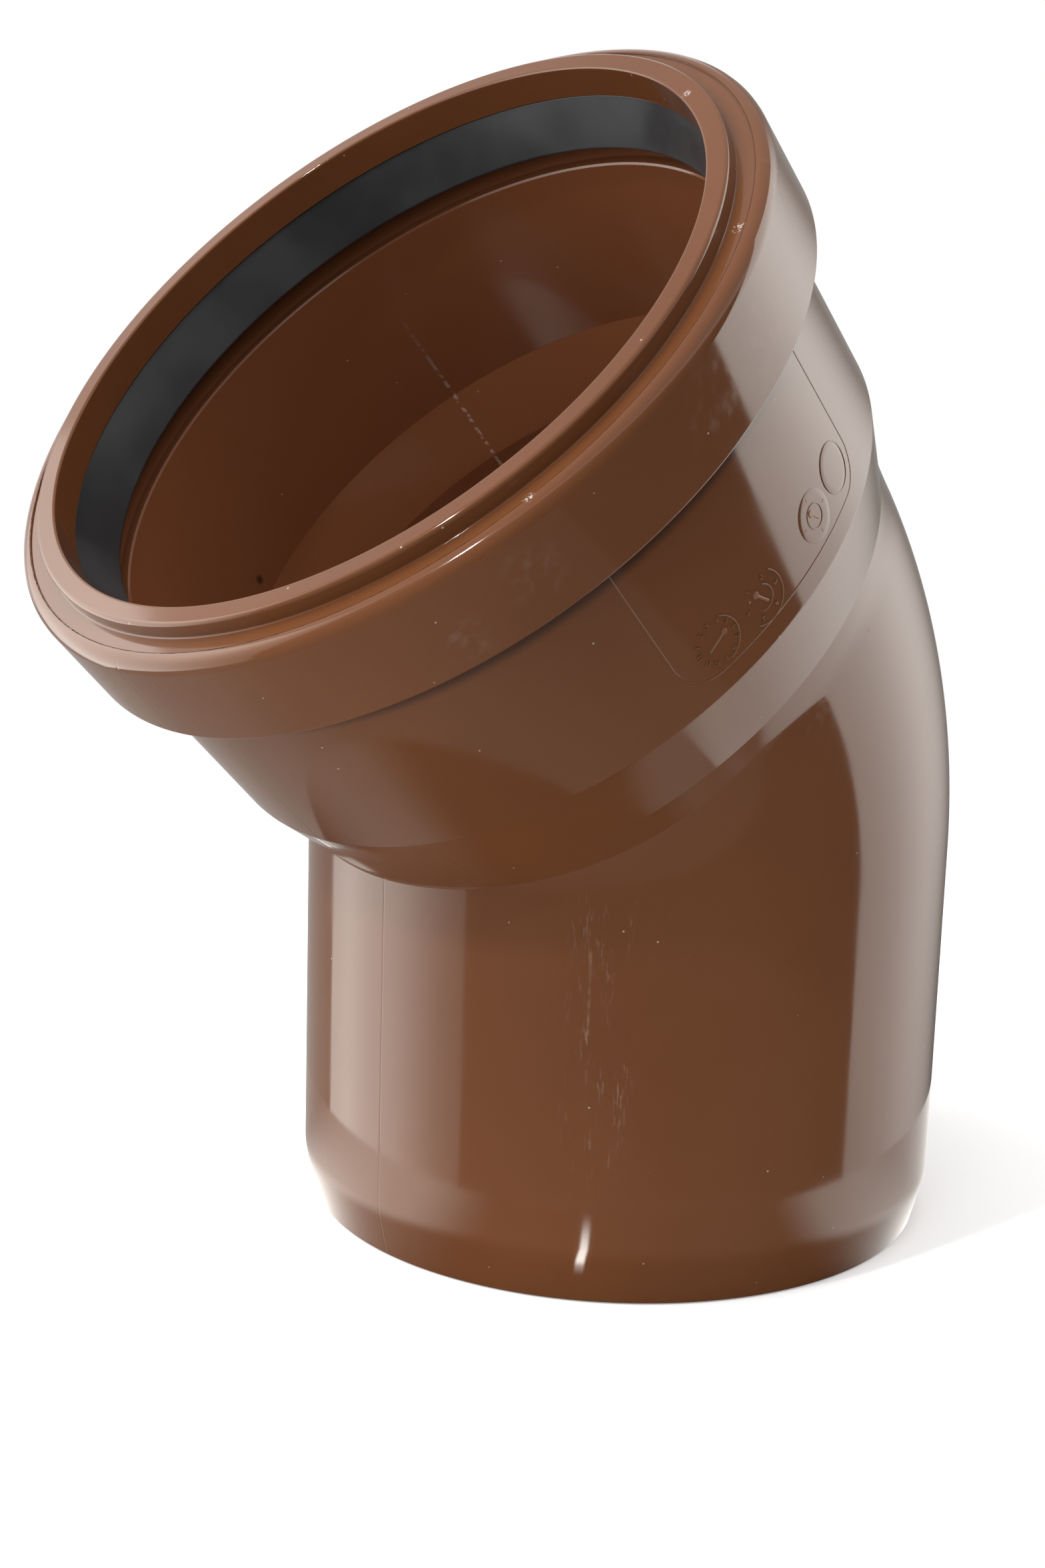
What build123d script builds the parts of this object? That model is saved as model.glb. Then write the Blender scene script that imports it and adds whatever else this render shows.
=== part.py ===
from build123d import *
from math import cos, radians, sin, tan
import os

# Sewer pipe bend, 45 degrees, with a plain spigot at one end and a push-fit socket at the other.
# The spigot stands on the floor: the origin is the centre of its end face, +Z runs up its axis,
# and the socket leans over towards +X. All sizes are in millimetres.
# Distances "along the socket" are measured from the point where the two axes meet.

# Pipe and bend
pipe_diameter = 110.0
pipe_wall = 3.2
bend_angle = 45.0
throat_radius = 0.5
spigot_length = 64.9
spigot_chamfer_length = 8.0
spigot_chamfer_depth = 2.0

# Socket, outside
neck_length = 0.4
shoulder_length = 13.2
shoulder_edge_round = 1.5
socket_wall = 4.4
barrel_taper = 0.3
collar_height = 4.7
collar_crown_round = 2.2
parting_step = 0.25
parting_inset = 2.4

# Socket, inside
insertion_clearance = 0.3
seat_length = 7.7
insertion_length = 31.7
ledge_round = 1.0
ledge_width = 0.9
flank_rise = 3.3
groove_width = 9.6
groove_wall = 3.4
mouth_clearance = 1.0
mouth_depth = 5.3
lip_wall = 3.5
lip_step = 2.4
lip_edge_round = 0.5

# Sealing ring
ring_clearance = 0.2
lip_to_pipe = 0.07
lip_reach = 8.5
lip_thickness = 1.7
notch_depth = 4.6
heel_width = 1.8
ring_edge_round = 0.5

# Radii that follow
pipe_radius = pipe_diameter / 2
bore_radius = pipe_radius - pipe_wall
chamfer_radius = pipe_radius - spigot_chamfer_depth
socket_radius = pipe_radius + insertion_clearance
barrel_radius = socket_radius + socket_wall
barrel_top_radius = barrel_radius + barrel_taper
collar_radius = barrel_top_radius + collar_height
parting_radius = collar_radius - parting_inset
groove_radius = collar_radius - groove_wall
ledge_radius = socket_radius + ledge_round + ledge_width
mouth_radius = pipe_radius + mouth_clearance
lip_radius = mouth_radius + lip_wall

# Distances along the socket that follow
bend_radius = pipe_radius + throat_radius
elbow_reach = bend_radius * tan(radians(bend_angle / 2))
shoulder_start = elbow_reach + neck_length
barrel_start = shoulder_start + shoulder_length
stop_height = barrel_start
seat_start = stop_height - seat_length
ledge_height = stop_height + insertion_length
flank_top = ledge_height + flank_rise
groove_top = flank_top + groove_width
mouth_height = groove_top + mouth_depth
collar_bottom = ledge_height
collar_top = mouth_height - lip_step
meeting_height = spigot_length + elbow_reach

# Planes and axes: the elbow turns about a line across the bend, and each turned profile is
# drawn in the bend's own plane, with its first number as radius and its second along the axis.
elbow_axis = Axis((bend_radius, 0, spigot_length), (0, 1, 0))
socket_direction = Vector(sin(radians(bend_angle)), 0, cos(radians(bend_angle)))
socket_outward = Vector(cos(radians(bend_angle)), 0, -sin(radians(bend_angle)))
meeting_point = Vector(0, 0, meeting_height)
socket_axis = Axis(meeting_point, socket_direction)
socket_plane = Plane(
    origin=meeting_point,
    x_dir=socket_outward,
    z_dir=socket_outward.cross(socket_direction),
)

# Bend body: one moulding, turned outside first and then hollowed along the waterway
with BuildPart() as bend_body:
    with BuildSketch(Plane.XZ):
        with BuildLine():
            Polyline(
                (0, 0),
                (chamfer_radius, 0),
                (pipe_radius, spigot_chamfer_length),
                (pipe_radius, spigot_length),
                (0, spigot_length),
                close=True,
            )
        make_face()
    revolve(axis=Axis.Z)
    with BuildSketch(Plane.XY.offset(spigot_length)):
        Circle(pipe_radius)
    revolve(axis=elbow_axis, revolution_arc=bend_angle)

    outside = [
        ((0, elbow_reach), 0),
        ((pipe_radius, elbow_reach), 0),
        ((pipe_radius, shoulder_start), shoulder_edge_round),
        ((barrel_radius, barrel_start), shoulder_edge_round),
        ((barrel_top_radius, collar_bottom), 0),
        ((collar_radius, collar_bottom), 0),
        ((collar_radius, collar_top), collar_crown_round),
        ((parting_radius, collar_top), 0),
        ((parting_radius, collar_top - parting_step), 0),
        ((lip_radius, collar_top - parting_step), 0),
        ((lip_radius, mouth_height), lip_edge_round),
        ((0, mouth_height), 0),
    ]
    with BuildSketch(socket_plane):
        with BuildLine():
            FilletPolyline([point for point, round_off in outside],
                           radius=[round_off for point, round_off in outside], close=True)
        make_face()
    revolve(axis=socket_axis)

    with BuildSketch(Plane.XY):
        Circle(bore_radius)
    extrude(amount=spigot_length, mode=Mode.SUBTRACT)
    with BuildSketch(Plane.XY.offset(spigot_length)):
        Circle(bore_radius)
    revolve(axis=elbow_axis, revolution_arc=bend_angle, mode=Mode.SUBTRACT)

    inside = [
        ((0, elbow_reach), 0),
        ((bore_radius, elbow_reach), 0),
        ((bore_radius, seat_start), 0),
        ((socket_radius, stop_height), 0),
        ((socket_radius, ledge_height), ledge_round),
        ((ledge_radius, ledge_height), 0),
        ((groove_radius, flank_top), 0),
        ((groove_radius, groove_top), 0),
        ((mouth_radius, groove_top), 0),
        ((mouth_radius, mouth_height - lip_edge_round), lip_edge_round),
        ((mouth_radius + lip_edge_round, mouth_height), 0),
        ((0, mouth_height), 0),
    ]
    with BuildSketch(socket_plane):
        with BuildLine():
            FilletPolyline([point for point, round_off in inside],
                           radius=[round_off for point, round_off in inside], close=True)
        make_face()
    revolve(axis=socket_axis, mode=Mode.SUBTRACT)

# Sealing ring: a rubber ring that lies in the groove, with a lip that leans inwards and away
# from the mouth. The lip is drawn as a pipe in the socket holds it.
ring_top = groove_top - ring_clearance
ring_bottom = flank_top + ring_clearance
ring_radius = groove_radius - ring_clearance
ring_mouth_radius = mouth_radius + ring_clearance
lip_tip_radius = pipe_radius + lip_to_pipe
lip_tip_height = ring_top - lip_reach
with BuildPart() as sealing_ring:
    section = [
        ((ring_mouth_radius, ring_top), 0),
        ((ring_radius, ring_top), 0),
        ((ring_radius, ring_bottom), 0),
        ((ring_radius - heel_width, ring_bottom), 0),
        ((ring_radius - heel_width, ring_bottom + notch_depth), 0),
        ((lip_tip_radius + lip_thickness, lip_tip_height), ring_edge_round),
        ((lip_tip_radius, lip_tip_height), ring_edge_round),
    ]
    with BuildSketch(socket_plane):
        with BuildLine():
            FilletPolyline([point for point, round_off in section],
                           radius=[round_off for point, round_off in section], close=True)
        make_face()
    revolve(axis=socket_axis)

bend_body.part.label = "bend_body"
sealing_ring.part.label = "sealing_ring"

os.makedirs("parts", exist_ok=True)
export_step(bend_body.part, "parts/bend_body.step")
export_step(sealing_ring.part, "parts/sealing_ring.step")
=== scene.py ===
import math

import bpy
import numpy as np
from mathutils import Matrix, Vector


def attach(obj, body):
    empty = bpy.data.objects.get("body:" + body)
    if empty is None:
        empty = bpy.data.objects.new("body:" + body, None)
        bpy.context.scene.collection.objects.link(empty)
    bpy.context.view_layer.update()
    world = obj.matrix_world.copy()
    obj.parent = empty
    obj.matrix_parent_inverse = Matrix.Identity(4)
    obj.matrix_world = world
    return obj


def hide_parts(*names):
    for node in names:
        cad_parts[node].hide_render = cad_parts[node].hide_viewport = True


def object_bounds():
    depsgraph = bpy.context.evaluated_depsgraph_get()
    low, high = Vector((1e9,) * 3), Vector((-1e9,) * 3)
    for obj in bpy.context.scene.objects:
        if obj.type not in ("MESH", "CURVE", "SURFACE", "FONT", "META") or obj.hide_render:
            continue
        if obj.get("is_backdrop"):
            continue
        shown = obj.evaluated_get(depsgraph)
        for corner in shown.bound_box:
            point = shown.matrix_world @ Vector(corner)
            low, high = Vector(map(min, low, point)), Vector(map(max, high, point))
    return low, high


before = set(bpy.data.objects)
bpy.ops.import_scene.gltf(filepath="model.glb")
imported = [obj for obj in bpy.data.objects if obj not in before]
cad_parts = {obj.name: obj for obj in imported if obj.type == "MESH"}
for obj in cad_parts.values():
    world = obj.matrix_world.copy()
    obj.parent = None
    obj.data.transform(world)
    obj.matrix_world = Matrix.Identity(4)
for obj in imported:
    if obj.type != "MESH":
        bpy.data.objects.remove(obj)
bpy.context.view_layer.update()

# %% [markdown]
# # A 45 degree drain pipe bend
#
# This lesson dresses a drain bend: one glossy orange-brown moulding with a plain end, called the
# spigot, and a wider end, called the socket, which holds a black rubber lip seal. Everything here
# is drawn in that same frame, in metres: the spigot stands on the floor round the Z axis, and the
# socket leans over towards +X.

MM = 0.001

# %% [markdown]
# ## The sizes
#
# The moulding's wall looks simple, but its outline has a dozen small steps: a chamfer, a shoulder,
# a collar over the seal's groove, a fine step on the end face and a lip round the mouth. They are
# written once here, in millimetres, and every piece below is tied to them. Widths are given as
# radii. Distances "along the socket" are measured from the point where the two axes cross.

# %% Sizes of the moulding
BORE, PIPE = 51.8, 55.0
CHAMFER_END, CHAMFER_LENGTH = 53.0, 8.0
SPIGOT_LENGTH, BEND_RADIUS, TURN = 64.9, 55.5, math.radians(45)
REACH = BEND_RADIUS * math.tan(TURN / 2)
MEETING = SPIGOT_LENGTH + REACH
SHOULDER_START, BARREL_START = REACH + 0.5, REACH + 13.6
NECK_START, NECK_ROOT, NECK_TOP = SHOULDER_START - 11.2, 54.2, 56.5
BARREL, BARREL_TOP = 59.7, 60.0
COLLAR, STEP, LIP, MOUTH = 64.7, 62.3, 59.5, 56.0
SOCKET, LEDGE_EDGE, LEDGE, GROOVE = 55.3, 55.6, 57.2, 61.3
LEDGE_HEIGHT = BARREL_START + 31.7
FLANK_TOP, GROOVE_TOP = LEDGE_HEIGHT + 3.3, LEDGE_HEIGHT + 12.9
MOUTH_HEIGHT = GROOVE_TOP + 5.3
COLLAR_TOP = MOUTH_HEIGHT - 2.4
STEP_HEIGHT = COLLAR_TOP - 0.25
print(f"axes meet {MEETING:.2f} mm up; the mouth is {MOUTH_HEIGHT:.2f} mm along the socket")

# %% [markdown]
# ## A camera at the photograph's angle
#
# A camera could be moved about until the view looks right, but that is slow and never quite ends.
# Here it was fitted to edges whose real shape is known: the round mouth, the collar and the straight
# sides of the pipe. The fit gives where the camera stood, how it was turned and how long its lens
# was, so they are written down as numbers.

# %% Camera
AZIMUTH, ELEVATION, ROLL = 135.972, 11.260, 1.729
DISTANCE, SHIFT_RIGHT, SHIFT_UP, TARGET_HEIGHT = 376.90, -18.51, -7.70, 80.0
FOCAL_PIXELS, PHOTO_PIXELS, SENSOR = 3275.3, 2353, 36.0


def put_in_scene(name, data):
    made = bpy.data.objects.new(name, data)
    bpy.context.scene.collection.objects.link(made)
    return made


def stand(made, x_axis, y_axis, z_axis, spot):
    """Turns an object by its three axes and puts it at a spot, in metres."""
    rows = np.stack([x_axis, y_axis, z_axis, spot], 1).tolist()
    made.matrix_world = Matrix(rows + [[0, 0, 0, 1]])


def camera_axes(azimuth, elevation, roll):
    a, e, r = map(math.radians, (azimuth, elevation, roll))
    back = np.array([math.sin(a) * math.cos(e), -math.cos(a) * math.cos(e), math.sin(e)])
    right = np.array([math.cos(a), math.sin(a), 0.0])
    up = np.cross(back, right)
    return math.cos(r) * right + math.sin(r) * up, math.cos(r) * up - math.sin(r) * right, back


right, up, back = camera_axes(AZIMUTH, ELEVATION, ROLL)
spot = back * DISTANCE + right * SHIFT_RIGHT + up * SHIFT_UP + np.array([0, 0, TARGET_HEIGHT])
lens = bpy.data.cameras.new("photo_camera")
lens.sensor_fit = "AUTO"
lens.sensor_width = SENSOR
lens.lens = FOCAL_PIXELS / PHOTO_PIXELS * SENSOR
lens.clip_start, lens.clip_end = 0.01, 50.0
camera = put_in_scene("photo_camera", lens)
stand(camera, right, up, back, spot * MM)
bpy.context.scene.camera = camera
print("lens", round(lens.lens, 2), "mm; camera at", (spot * MM).round(3).tolist())

# %% [markdown]
# ## A pale floor and a soft studio
#
# Daylight is a soft sky with one sharp sun. One strong lamp would be simpler, but its hard shadow
# would spoil the pale floor. So five broad lights give the soft part, and a small lamp puts glints
# on the rounded edges. The gloss doesn't mirror the broad lights: what it mirrors is set out in a
# step of its own below. The floor fades out all round, so no horizon shows, and it keeps the pipe's
# shadow.

# %% Helpers for materials
def material(name, roughness):
    made = bpy.data.materials.new(name)
    made.use_nodes = True
    tree = made.node_tree
    shader = tree.nodes["Principled BSDF"]
    shader.inputs["Roughness"].default_value = roughness
    return made, tree, shader


def add(tree, kind, **settings):
    node = tree.nodes.new("ShaderNode" + kind)
    for key, value in settings.items():
        setattr(node, key, value)
    return node


def feed(tree, socket, source):
    """Links a socket to another, or gives it a plain value."""
    if isinstance(source, bpy.types.NodeSocket):
        tree.links.new(source, socket)
    else:
        socket.default_value = source


def math_node(tree, operation, a, b=0.0, c=0.0):
    node = add(tree, "Math", operation=operation)
    for socket, source in zip(node.inputs, (a, b, c)):
        feed(tree, socket, source)
    return node.outputs[0]


def blend(tree, share, low, high):
    node = add(tree, "Mix", data_type="RGBA")
    feed(tree, node.inputs["Factor"], share)
    feed(tree, node.inputs["A"], low)
    feed(tree, node.inputs["B"], high)
    return node.outputs["Result"]


def ramp(tree, value, low, high, to_low=0.0, to_high=1.0):
    """A smooth step from one value to another, as the input goes from low to high."""
    node = add(tree, "MapRange", interpolation_type="SMOOTHSTEP")
    for socket, source in zip(node.inputs, (value, low, high, to_low, to_high)):
        feed(tree, socket, source)
    return node.outputs[0]


def split(tree, vector):
    node = add(tree, "SeparateXYZ")
    feed(tree, node.inputs[0], vector)
    return node.outputs


print("helpers:", [h.__name__ for h in (material, add, feed, math_node, blend, ramp, split)])

# %% Floor
FLOOR_HALF, FLOOR_HEIGHT = 3, -0.0002
FADE_START, FADE_END = 0.16, 0.5
floor_mesh = bpy.data.meshes.new("studio_floor")
floor_corners = [(x * FLOOR_HALF, y * FLOOR_HALF, FLOOR_HEIGHT)
                 for x, y in ((-1, -1), (1, -1), (1, 1), (-1, 1))]
floor_mesh.from_pydata(floor_corners, [], [(0, 1, 2, 3)])
floor = put_in_scene("studio_floor", floor_mesh)
floor_paint, tree, shader = material("pale_floor", 0.8)
shader.inputs["Base Color"].default_value = (0.86, 0.86, 0.86, 1)
shader.inputs["Specular IOR Level"].default_value = 0.1
shader.inputs["Emission Color"].default_value = (1, 1, 1, 1)
lift = math_node(tree, "MULTIPLY", add(tree, "LightPath").outputs["Is Camera Ray"], 0.3)
feed(tree, shader.inputs["Emission Strength"], lift)
distance = add(tree, "VectorMath", operation="LENGTH")
feed(tree, distance.inputs[0], add(tree, "TexCoord").outputs["Object"])
fade = add(tree, "MixShader")
feed(tree, fade.inputs[0], ramp(tree, distance.outputs["Value"], FADE_START, FADE_END))
feed(tree, fade.inputs[1], shader.outputs[0])
feed(tree, fade.inputs[2], add(tree, "BsdfTransparent").outputs[0])
feed(tree, tree.nodes["Material Output"].inputs["Surface"], fade.outputs[0])
floor_mesh.materials.append(floor_paint)
floor.visible_glossy = False
floor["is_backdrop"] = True
print(f"floor fades out between {FADE_START} and {FADE_END} m from the pipe's axis")

# %% World
AIR_LIGHT = 0.4
world = bpy.data.worlds.new("studio_air")
bpy.context.scene.world = world
world.use_nodes = True
tree = world.node_tree
rays = add(tree, "LightPath")
seen = math_node(tree, "MAXIMUM", rays.outputs["Is Camera Ray"], rays.outputs["Is Transmission Ray"])
height = split(tree, add(tree, "TexCoord").outputs["Generated"])["Z"]
sky = ramp(tree, height, 0.58, 0.76, 0.65, 0.1)
mirrored = math_node(tree, "MULTIPLY_ADD", rays.outputs["Is Glossy Ray"], sky, AIR_LIGHT)
strength = math_node(tree, "MULTIPLY_ADD", seen, 1 - AIR_LIGHT, mirrored)
feed(tree, tree.nodes["Background"].inputs["Strength"], strength)
tree.nodes["Background"].inputs["Color"].default_value = (1, 1, 1, 1)
print("the air is white behind the pipe, lights it at", AIR_LIGHT, "and is mirrored darker from high up")

# %% Lamps
LOOK_AT = np.array([0.02, 0, 0.09])


def lamp(name, azimuth, elevation, distance, width, height, watts):
    """A sheet of light that lies that way from the pipe and faces it. Azimuth 0 is +X, 90 is +Y."""
    a, e = math.radians(azimuth), math.radians(elevation)
    way = np.array([math.cos(a) * math.cos(e), math.sin(a) * math.cos(e), math.sin(e)])
    sheet = bpy.data.lights.new(name, "AREA")
    sheet.shape = "RECTANGLE"
    sheet.size, sheet.size_y = width, height
    sheet.energy = watts
    made = put_in_scene(name, sheet)
    side = np.cross([0, 0, 1.0], way)
    side /= np.linalg.norm(side)
    stand(made, side, np.cross(way, side), way, LOOK_AT + way * distance)
    made.visible_glossy = False
    return made


lamp("overhead_sheet", 60, 80, 1.3, 1.6, 1.6, 13)
lamp("mouth_sheet", -34, 44, 1.1, 1.0, 1.0, 9)
lamp("front_sheet", 42, 18, 1.1, 0.9, 0.9, 1.3)
lamp("left_panel", -24, 10, 1.1, 1.1, 1.6, 8.5)
lamp("right_panel", 160, 0, 1.1, 1.0, 1.6, 1.4)
lamp("glint_lamp", -1, 39, 1.2, 0.05, 0.05, 4).visible_glossy = True

# %% [markdown]
# ### Cards for the gloss
#
# The deep brown front and the pale bands of a glossy pipe are both reflections. A photographer sets
# them with cards: bright ones where a pale band should run, dark ones where the colour should stay
# deep. Each card here is a plain sheet that gives off light, and how much is a small sum of its
# place. Only the gloss sees the cards, so they change neither the light nor the background.

# %% Card helpers
def studio_piece(name, points, faces, paint):
    """A mesh that only the gloss sees."""
    mesh = bpy.data.meshes.new(name)
    mesh.from_pydata(points, [], faces)
    mesh.materials.append(paint)
    made = put_in_scene(name, mesh)
    made.visible_camera = made.visible_diffuse = made.visible_transmission = made.visible_shadow = False
    made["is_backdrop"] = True


def arc(start, end, distance, steps=24):
    return [(distance * math.cos(math.radians(a)), distance * math.sin(math.radians(a)))
            for a in np.linspace(start, end, steps)]


def standing_card(name, corners, low, high, paint):
    """A folded card that stands on edge along the corners, given as x and y in metres."""
    points = [(x, y, z) for x, y in corners for z in (low, high)]
    faces = [(2 * i, 2 * i + 2, 2 * i + 3, 2 * i + 1) for i in range(len(corners) - 1)]
    studio_piece(name, points, faces, paint)


def round_card(name, radius, height, paint):
    rim = arc(0, 360, radius, 61)[:-1]
    studio_piece(name, [(x, y, height) for x, y in rim], [tuple(range(60))], paint)


def glow(name, brightness):
    """A paint that gives off light. Brightness is a function from (tree, x, y, z) to a value or socket."""
    made, tree, shader = material(name, 0.5)
    made.cycles.emission_sampling = "NONE"
    light = add(tree, "Emission")
    light.inputs["Color"].default_value = (1.0, 0.98, 0.93, 1)
    place = split(tree, add(tree, "TexCoord").outputs["Object"])
    feed(tree, light.inputs["Strength"], brightness(tree, *place))
    feed(tree, tree.nodes["Material Output"].inputs["Surface"], light.outputs[0])
    return made


print("helpers:", [h.__name__ for h in (studio_piece, arc, standing_card, round_card, glow)])

# %% Sums of nodes
def heading(tree, x, y):
    """The direction from the axis in degrees: 0 is +X, 90 is +Y."""
    return math_node(tree, "MULTIPLY", math_node(tree, "ARCTAN2", y, x), 180 / math.pi)


def distance_from_axis(tree, x, y):
    return math_node(tree, "SQRT", math_node(tree, "MULTIPLY_ADD", x, x, math_node(tree, "MULTIPLY", y, y)))


def off(tree, value, middle):
    return math_node(tree, "ABSOLUTE", math_node(tree, "SUBTRACT", value, middle))


def times(tree, *factors):
    product = factors[0]
    for factor in factors[1:]:
        product = math_node(tree, "MULTIPLY", product, factor)
    return product


def plus(tree, *parts):
    total = parts[0]
    for part in parts[1:]:
        total = math_node(tree, "ADD", total, part)
    return total


def either(tree, *shares):
    greatest = shares[0]
    for share in shares[1:]:
        greatest = math_node(tree, "MAXIMUM", greatest, share)
    return greatest


print("helpers:", [h.__name__ for h in (heading, distance_from_axis, off, times, plus, either)])

# %% [markdown]
# ### What each card shows
#
# The table under the pipe is polished: it mirrors more at a flat angle than from above, which Layer
# Weight's Facing tells. A thin bright line on it gives the gleam at the pipe's foot, where the sun
# would glint. The ground lies lower and further out, and a ring of upright cards stands round the
# pipe: a dark one in front, pale ones to the left and the right, and a grey one behind.

# %% Cards
GLEAM_HEADING = 37.6
GROUND_HEIGHT, CARD_TOP = -0.13, 0.36


def table_light(tree, x, y, z):
    way = heading(tree, x, y)
    reach = distance_from_axis(tree, x, y)
    facing = add(tree, "LayerWeight").outputs["Facing"]
    polish = ramp(tree, facing, 0.35, 0.6, 0.2, 1.0)
    left = times(tree, ramp(tree, way, -62, -18, 0.5, 3.0), ramp(tree, way, -8, 17, 1.0, 0.05), polish)
    right = times(tree, ramp(tree, way, 82, 100, 0.0, 2.1), ramp(tree, way, 106, 135, 1.0, 0.5), polish)
    line = ramp(tree, off(tree, way, GLEAM_HEADING), 0.5, 1.2, 20.0, 0.0)
    stretch = times(tree, ramp(tree, reach, 0.058, 0.064), ramp(tree, reach, 0.074, 0.094, 1.0, 0.0))
    angle = times(tree, ramp(tree, facing, 0.14, 0.22), ramp(tree, facing, 0.67, 0.8, 1.0, 0.1))
    return plus(tree, left, right, times(tree, line, stretch, angle))


def ground_light(tree, x, y, z):
    near = ramp(tree, distance_from_axis(tree, x, y), 0.12, 0.28, 0.36, 0.24)
    side = times(tree, ramp(tree, x, -0.19, -0.10, 1.3, 0.0), ramp(tree, y, 0.20, 0.26, 1.0, 0.0))
    left = ramp(tree, y, -0.14, -0.02, 0.24, 0.0)
    return plus(tree, near, side, left)


def front_light(tree, x, y, z):
    return ramp(tree, heading(tree, x, y), 0, 60, 0.22, 0.11)


def left_light(tree, x, y, z):
    way = heading(tree, x, y)
    return times(tree, ramp(tree, way, -76, -60, 2.3, 3.8), ramp(tree, way, -42, -8, 1.0, 0.3))


def back_light(tree, x, y, z):
    return 0.46


def right_light(tree, x, y, z):
    return times(tree, ramp(tree, z, -0.25, 0.25, 1.1, 3.7), ramp(tree, y, -0.12, 0.17, 0.1, 1.0))


round_card("table_card", 0.094, -0.0004, glow("table_grey", table_light))
round_card("ground_card", 0.43, GROUND_HEIGHT, glow("ground_grey", ground_light))
right_corners = [(-0.164, 0.238), (-0.25, 0.19), (-0.36, 0.05), (-0.36, -0.12), (-0.30, -0.25)]
for name, corners, top, paint, light in (
        ("front_card", arc(-9, 132, 0.42), CARD_TOP, "front_black", front_light),
        ("left_card", arc(-76, -9.5, 0.40), CARD_TOP, "left_white", left_light),
        ("back_card", arc(-150, -76.5, 0.42), 0.06, "back_grey", back_light),
        ("right_card", right_corners, 0.6, "right_white", right_light)):
    standing_card(name, corners, GROUND_HEIGHT, top, glow(paint, light))

# %% [markdown]
# ## The moulding, laid up ring by ring
#
# The body could be cut from solids with booleans, but that leaves ragged triangles where the bend
# meets the socket, and gloss shows every one of them. The whole wall is in fact one tube turned
# back on itself: up the outside, over the mouth and down the bore. So it is laid up as a stack of
# rings, most of them circles square to the axis, and neighbouring rings are joined by plain quads.

# %% Places along the pipe
ACROSS = np.array([0.0, 1.0, 0.0])
UP_SOCKET = np.array([math.sin(TURN), 0.0, math.cos(TURN)])
OUT_SOCKET = np.array([math.cos(TURN), 0.0, -math.sin(TURN)])
AXES_MEET = np.array([0.0, 0.0, MEETING])


def on_spigot(height):
    """The middle of a circle at that height, and the direction in which its angles start."""
    return np.array([0.0, 0.0, height]), np.array([1.0, 0.0, 0.0])


def on_elbow(angle):
    out, rise = BEND_RADIUS * (1 - math.cos(angle)), BEND_RADIUS * math.sin(angle)
    return np.array([out, 0.0, SPIGOT_LENGTH + rise]), np.array([math.cos(angle), 0.0, -math.sin(angle)])


def on_socket(along):
    return AXES_MEET + along * UP_SOCKET, OUT_SOCKET


print("elbow starts", on_elbow(0)[0].round(2).tolist(), "and ends", on_elbow(TURN)[0].round(2).tolist())

# %% [markdown]
# ### Rounded corners
#
# No moulded corner is truly sharp, and the thin highlight along a rounded corner is what makes a
# model look real. A Bevel modifier could round them all alike, but here each corner has a size of
# its own. So each outline is given as corners with a rounding, and this helper turns each corner
# into a short arc. It also adds one ring just before and after the arc, so that the smooth shading
# of the arc doesn't leak over the flat wall beside it.

# %% Outline helper
def soften(corners, steps=6, guard=0.25):
    """Corners are (radius, along, rounding) in mm; the result is a list of (radius, along)."""
    line = []
    for i, (radius, along, rounding) in enumerate(corners):
        corner = np.array([radius, along], float)
        if not rounding:
            line.append(corner)
            continue
        before = np.array(corners[i - 1][:2]) - corner
        after = np.array(corners[(i + 1) % len(corners)][:2]) - corner
        before, after = before / np.linalg.norm(before), after / np.linalg.norm(after)
        half = math.acos(np.clip(before @ after, -1, 1)) / 2
        run = rounding / math.tan(half)
        middle = corner + (before + after) / np.linalg.norm(before + after) * rounding / math.sin(half)
        first, last = corner + before * run - middle, corner + after * run - middle
        sweep = math.pi - 2 * half
        line.append(corner + before * (run + guard))
        for k in range(steps + 1):
            share = k / steps
            spoke = math.sin((1 - share) * sweep) * first + math.sin(share * sweep) * last
            line.append(middle + spoke / math.sin(sweep))
        line.append(corner + after * (run + guard))
    return line


print("points in one rounded corner:", len(soften([(1, 0, 0), (0, 0, 0.1), (0, 1, 0)])) - 2)

# %% Outlines
STRAIGHT_TOP = 45.0
spigot_outside = soften([
    (CHAMFER_END - 0.5, 0, 0), (CHAMFER_END, 0, 0.3), (PIPE, CHAMFER_LENGTH, 11.0), (PIPE, STRAIGHT_TOP, 0)])
socket_outside = soften([
    (NECK_ROOT, NECK_START, 0), (NECK_TOP, SHOULDER_START, 1.5), (BARREL, BARREL_START, 1.5),
    (BARREL_TOP, LEDGE_HEIGHT, 0.3), (COLLAR, LEDGE_HEIGHT, 0.3), (COLLAR, COLLAR_TOP, 2.2),
    (STEP, COLLAR_TOP, 0.08), (STEP, STEP_HEIGHT, 0.0), (LIP, STEP_HEIGHT, 0.25),
    (LIP, MOUTH_HEIGHT, 0.6), (MOUTH, MOUTH_HEIGHT, 0.35), (MOUTH, GROOVE_TOP, 0)], guard=0.12)[1:]
socket_inside = soften([
    (GROOVE, GROOVE_TOP, 0), (GROOVE, FLANK_TOP, 0.3), (LEDGE, LEDGE_HEIGHT, 0.3),
    (LEDGE_EDGE, LEDGE_HEIGHT, 0.1), (SOCKET, LEDGE_HEIGHT - 0.3, 0.1), (SOCKET, BARREL_START, 0.6),
    (BORE, SHOULDER_START, 1.0), (BORE, REACH, 0)], guard=0.12)
print("outline points:", len(spigot_outside), len(socket_outside), len(socket_inside))

# %% [markdown]
# ### The line where the mould halves met
#
# The two halves of the mould met in the plane of the bend, and left a hair line down the inner and
# the outer side of the pipe. It could be bump in the material, but a groove in the mesh is sharper
# up close. Rings get a few extra points there, and the middle one is set in by a few hundredths of
# a millimetre on the outside only.

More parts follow.
